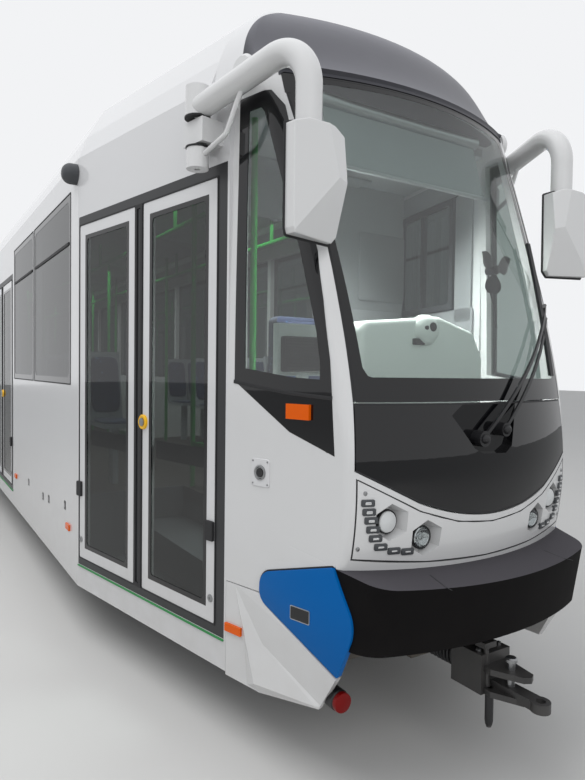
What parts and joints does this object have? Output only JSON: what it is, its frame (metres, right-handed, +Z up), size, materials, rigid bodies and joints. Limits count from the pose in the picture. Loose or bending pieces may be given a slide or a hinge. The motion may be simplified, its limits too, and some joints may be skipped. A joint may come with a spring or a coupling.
{
  "type": "city tram",
  "caption": "One-section city tram with one cab, doors along its right side, two powered bogies, folding couplers and a folded current collector on the roof.",
  "frame": {"origin": "middle of the tram's length and width at the level of the wheel flanges' lowest points, one flange height under the rail heads", "axes": "+X towards the cab, +Y to the tram's left, +Z up"},
  "size_m": [15.33, 2.59, 3.666],
  "materials": {
    "white_paint": "gloss",
    "grey_paint": "satin",
    "black_gloss": "gloss",
    "bumper_black": "matte",
    "blue_panel": "satin",
    "skirt_grey": "gloss",
    "glazing": "gloss",
    "lamp_lens": "gloss",
    "orange_lens": "gloss",
    "red_lens": "gloss",
    "rubber": "matte",
    "frame_paint": "satin",
    "floor_cover": "matte",
    "interior_grey": "matte",
    "desk_white": "satin",
    "seat_fabric": "matte",
    "seat_shell": "satin",
    "green_pole": "gloss",
    "cast_steel": "rough",
    "wheel_steel": "worn",
    "roof_grey": "satin",
    "collector": "satin",
    "mirror_face": "gloss"
  },
  "bodies": {
    "carbody": {"underframe": "frame_paint", "door_steps": "floor_cover", "wall_right": "white_paint", "wall_left": "white_paint", "front_quarters": "white_paint", "rear_quarters": "white_paint", "cab_mask": "white_paint", "rear_mask": "white_paint", "windscreen": "glazing", "rear_window": "glazing", "apron": "black_gloss", "lamp_panels": "white_paint", "headlamps": "lamp_lens", "tail_lamps": "red_lens", "cab_side_windows": "glazing", "corner_panels": "blue_panel", "corner_skirts": "skirt_grey", "bumpers": "bumper_black", "door_portals": "rubber", "door_leaves": "white_paint", "door_glass": "glazing", "saloon_windows": "glazing", "side_lamps": "orange_lens", "camera_domes": "black_gloss", "corner_covers": "white_paint", "wiper": "bumper_black", "mirror_brackets": "white_paint", "roof_deck": "roof_grey", "roof_fairings": "white_paint", "roof_crowns": "white_paint", "end_caps": "grey_paint", "roof_units": "roof_grey", "pantograph_base": "collector", "driver_desk": "desk_white", "driver_seat": "seat_fabric", "cab_bulkhead": "interior_grey", "passenger_seats": "seat_shell", "handrails": "green_pole"},
    "bogie_front": {"bogie_frame_front": "frame_paint", "motors_front": "cast_steel", "springs_front": "rubber", "track_brakes_front": "cast_steel"},
    "bogie_rear": {"bogie_frame_rear": "frame_paint", "motors_rear": "cast_steel", "springs_rear": "rubber", "track_brakes_rear": "cast_steel"},
    "axle_1": {"wheelset_1": "wheel_steel"},
    "axle_2": {"wheelset_2": "wheel_steel"},
    "axle_3": {"wheelset_3": "wheel_steel"},
    "axle_4": {"wheelset_4": "wheel_steel"},
    "mirror_arm_right": {"mirror_right": "white_paint", "mirror_glass_right": "mirror_face"},
    "mirror_arm_left": {"mirror_left": "white_paint", "mirror_glass_left": "mirror_face"},
    "coupler_front_bar": {"coupler_front": "cast_steel"},
    "coupler_rear_bar": {"coupler_rear": "cast_steel"},
    "panto_lower": {"panto_lower_arm": "collector"},
    "panto_upper": {"panto_upper_arm": "collector"},
    "panto_pan": {"panto_head": "cast_steel"}
  },
  "joints": [
    {"name": "bogie_front_yaw", "type": "hinge", "parent": "carbody", "child": "bogie_front", "pos_m": [3.45, 0, 0.526], "axis": [0, 0, 1], "range_deg": [-10, 10]},
    {"name": "bogie_rear_yaw", "type": "hinge", "parent": "carbody", "child": "bogie_rear", "pos_m": [-3.45, 0, 0.526], "axis": [0, 0, 1], "range_deg": [-10, 10]},
    {"name": "axle_1_turn", "type": "hinge", "parent": "bogie_front", "child": "axle_1", "pos_m": [4.4, 0, 0.353], "axis": [0, 1, 0], "continuous": true},
    {"name": "axle_2_turn", "type": "hinge", "parent": "bogie_front", "child": "axle_2", "pos_m": [2.5, 0, 0.353], "axis": [0, 1, 0], "continuous": true},
    {"name": "axle_3_turn", "type": "hinge", "parent": "bogie_rear", "child": "axle_3", "pos_m": [-2.5, 0, 0.353], "axis": [0, 1, 0], "continuous": true},
    {"name": "axle_4_turn", "type": "hinge", "parent": "bogie_rear", "child": "axle_4", "pos_m": [-4.4, 0, 0.353], "axis": [0, 1, 0], "continuous": true},
    {"name": "mirror_right_fold", "type": "hinge", "parent": "carbody", "child": "mirror_arm_right", "pos_m": [6.447, -0.993, 2.826], "axis": [0, 0, 1], "range_deg": [-80, 0]},
    {"name": "mirror_left_fold", "type": "hinge", "parent": "carbody", "child": "mirror_arm_left", "pos_m": [6.447, 0.993, 2.826], "axis": [0, 0, 1], "range_deg": [0, 80]},
    {"name": "coupler_front_swing", "type": "hinge", "parent": "carbody", "child": "coupler_front_bar", "pos_m": [6.935, 0, 0.466], "axis": [0, 0, 1], "range_deg": [-20, 20]},
    {"name": "coupler_rear_swing", "type": "hinge", "parent": "carbody", "child": "coupler_rear_bar", "pos_m": [-6.935, 0, 0.466], "axis": [0, 0, 1], "range_deg": [-20, 20]},
    {"name": "collector_lift", "type": "hinge", "parent": "carbody", "child": "panto_lower", "pos_m": [3.3, 0, 3.356], "axis": [0, 1, 0], "range_deg": [0, 45]},
    {"name": "collector_knee", "type": "hinge", "parent": "panto_lower", "child": "panto_upper", "pos_m": [1.854, 0, 3.457], "axis": [0, 1, 0], "range_deg": [-90, 0]},
    {"name": "collector_pan", "type": "hinge", "parent": "panto_upper", "child": "panto_pan", "pos_m": [3.3, 0, 3.558], "axis": [0, 1, 0], "range_deg": [0, 45]}
  ],
  "couplings": [
    {"joint": "collector_knee", "follows": "collector_lift", "ratio": -2},
    {"joint": "collector_pan", "follows": "collector_lift", "ratio": 1}
  ]
}
